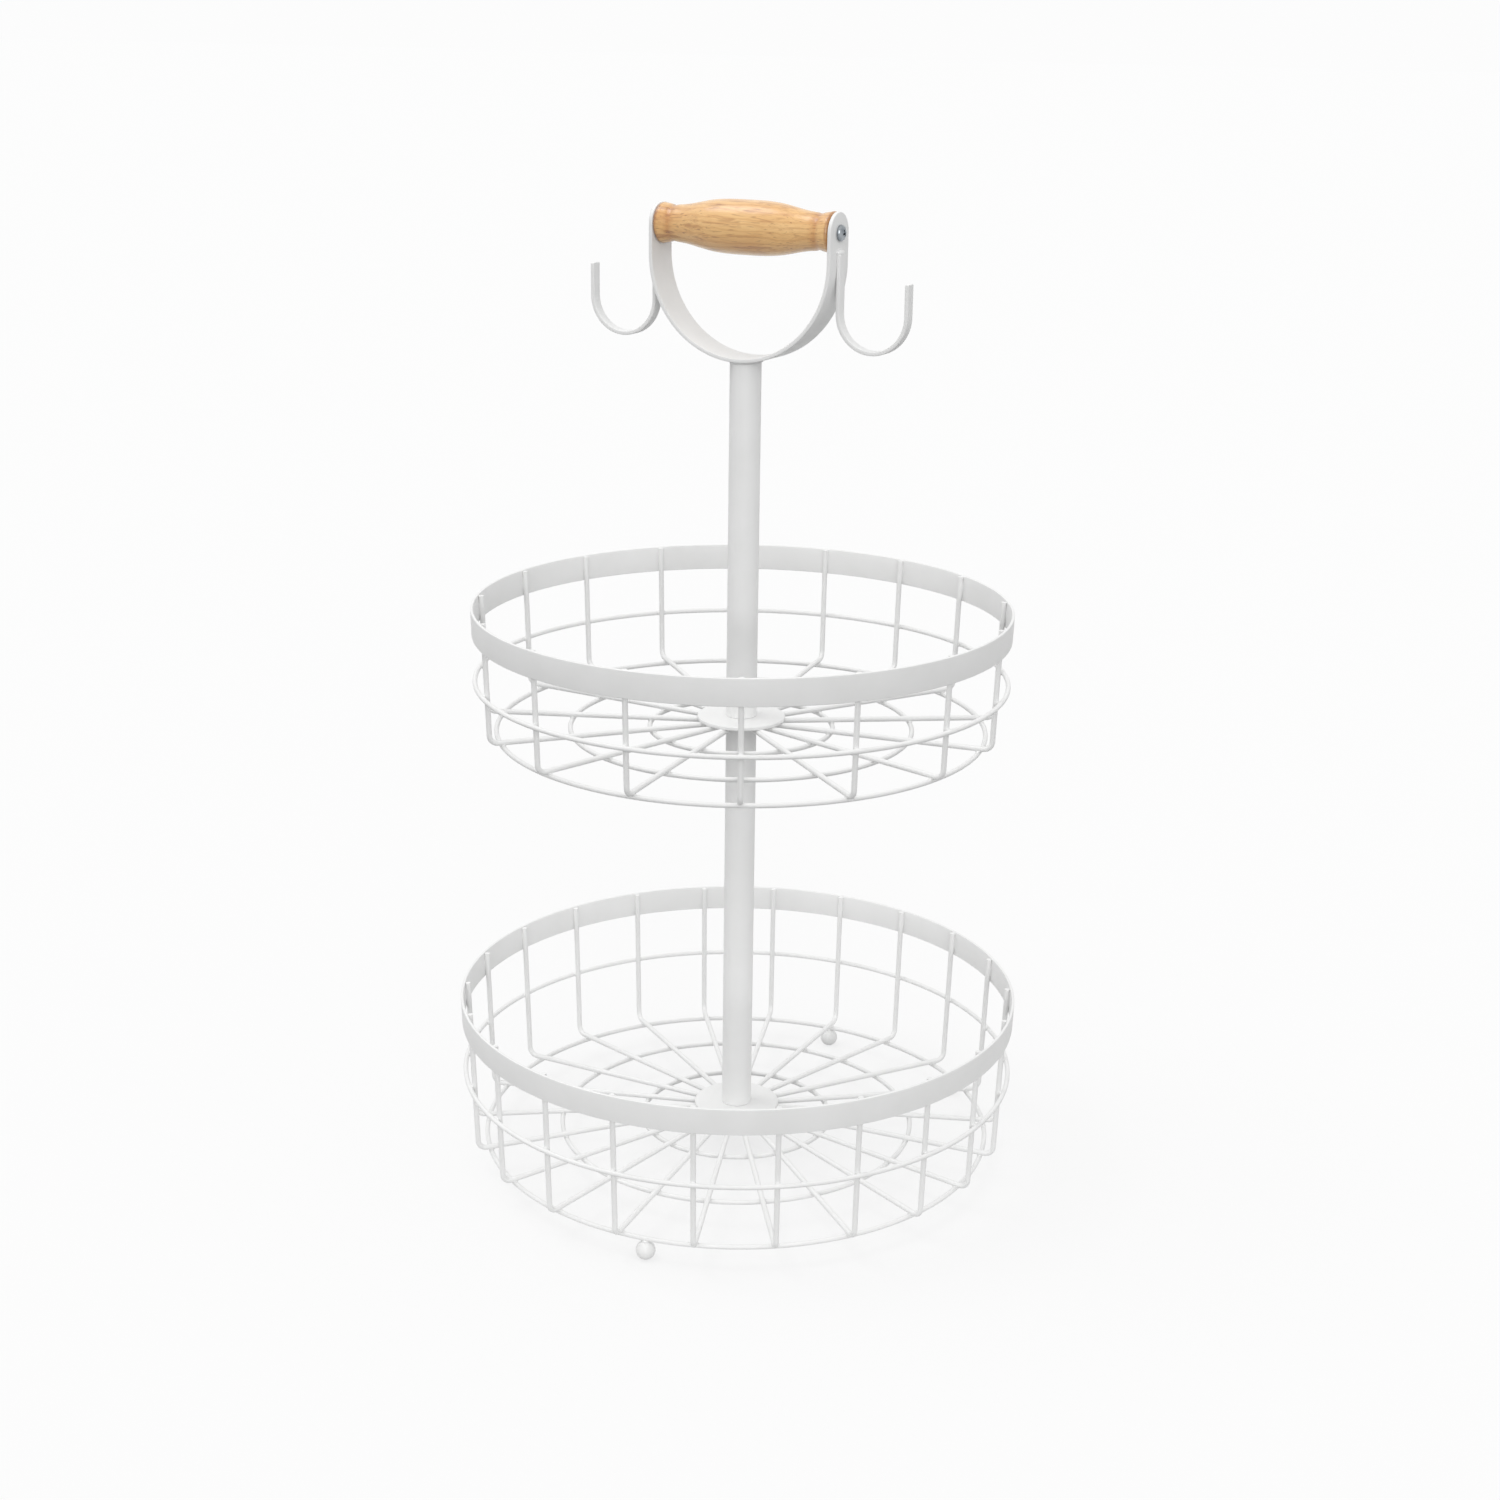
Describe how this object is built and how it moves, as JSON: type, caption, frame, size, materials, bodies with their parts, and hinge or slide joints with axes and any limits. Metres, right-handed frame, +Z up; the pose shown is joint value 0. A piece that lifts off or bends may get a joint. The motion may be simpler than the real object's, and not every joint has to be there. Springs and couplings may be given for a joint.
{
  "type": "tiered wire basket",
  "caption": "Free-standing round wire basket with a smaller basket above it on one post, a turned wooden carrying grip on top and a hook for bananas at each side of the grip.",
  "frame": {"origin": "on the table top, on the axis of the post", "axes": "+Z up along the post, +X along the wooden grip towards one of the hooks, +Y to the back"},
  "size_m": [0.3, 0.3, 0.5109],
  "materials": {
    "powder_coat": "satin white powder coat on steel wire, strip, sheet and tube",
    "beech": "turned beech with a clear gloss lacquer",
    "zinc": "bright zinc-plated steel"
  },
  "bodies": {
    "stand": {"ball_feet": "powder_coat", "banana_hooks": "powder_coat", "base_bolt": "zinc", "handle_strap": "powder_coat", "lower_floor_ring_inner": "powder_coat", "lower_floor_ring_middle": "powder_coat", "lower_floor_ring_outer": "powder_coat", "lower_hub_disc": "powder_coat", "lower_post": "powder_coat", "lower_rib_01": "powder_coat", "lower_rib_02": "powder_coat", "lower_rib_03": "powder_coat", "lower_rib_04": "powder_coat", "lower_rib_05": "powder_coat", "lower_rib_06": "powder_coat", "lower_rib_07": "powder_coat", "lower_rib_08": "powder_coat", "lower_rib_09": "powder_coat", "lower_rib_10": "powder_coat", "lower_rib_11": "powder_coat", "lower_rib_12": "powder_coat", "lower_rib_13": "powder_coat", "lower_rib_14": "powder_coat", "lower_rib_15": "powder_coat", "lower_rib_16": "powder_coat", "lower_rib_17": "powder_coat", "lower_rib_18": "powder_coat", "lower_rib_19": "powder_coat", "lower_rib_20": "powder_coat", "lower_rib_21": "powder_coat", "lower_rib_22": "powder_coat", "lower_rim_band": "powder_coat", "lower_wall_ring": "powder_coat", "post_plugs": "zinc", "tier_stud": "zinc", "upper_floor_ring_inner": "powder_coat", "upper_floor_ring_middle": "powder_coat", "upper_floor_ring_outer": "powder_coat", "upper_hub_disc": "powder_coat", "upper_post": "powder_coat", "upper_rib_01": "powder_coat", "upper_rib_02": "powder_coat", "upper_rib_03": "powder_coat", "upper_rib_04": "powder_coat", "upper_rib_05": "powder_coat", "upper_rib_06": "powder_coat", "upper_rib_07": "powder_coat", "upper_rib_08": "powder_coat", "upper_rib_09": "powder_coat", "upper_rib_10": "powder_coat", "upper_rib_11": "powder_coat", "upper_rib_12": "powder_coat", "upper_rib_13": "powder_coat", "upper_rib_14": "powder_coat", "upper_rib_15": "powder_coat", "upper_rib_16": "powder_coat", "upper_rim_band": "powder_coat", "upper_wall_ring": "powder_coat"},
    "grip": {"wood_grip": "beech", "grip_screws": "zinc"}
  },
  "joints": [
    {"name": "grip_turn", "type": "hinge", "parent": "stand", "child": "grip", "pos_m": [0, 0, 0.49748], "axis": [1, 0, 0], "continuous": true}
  ]
}
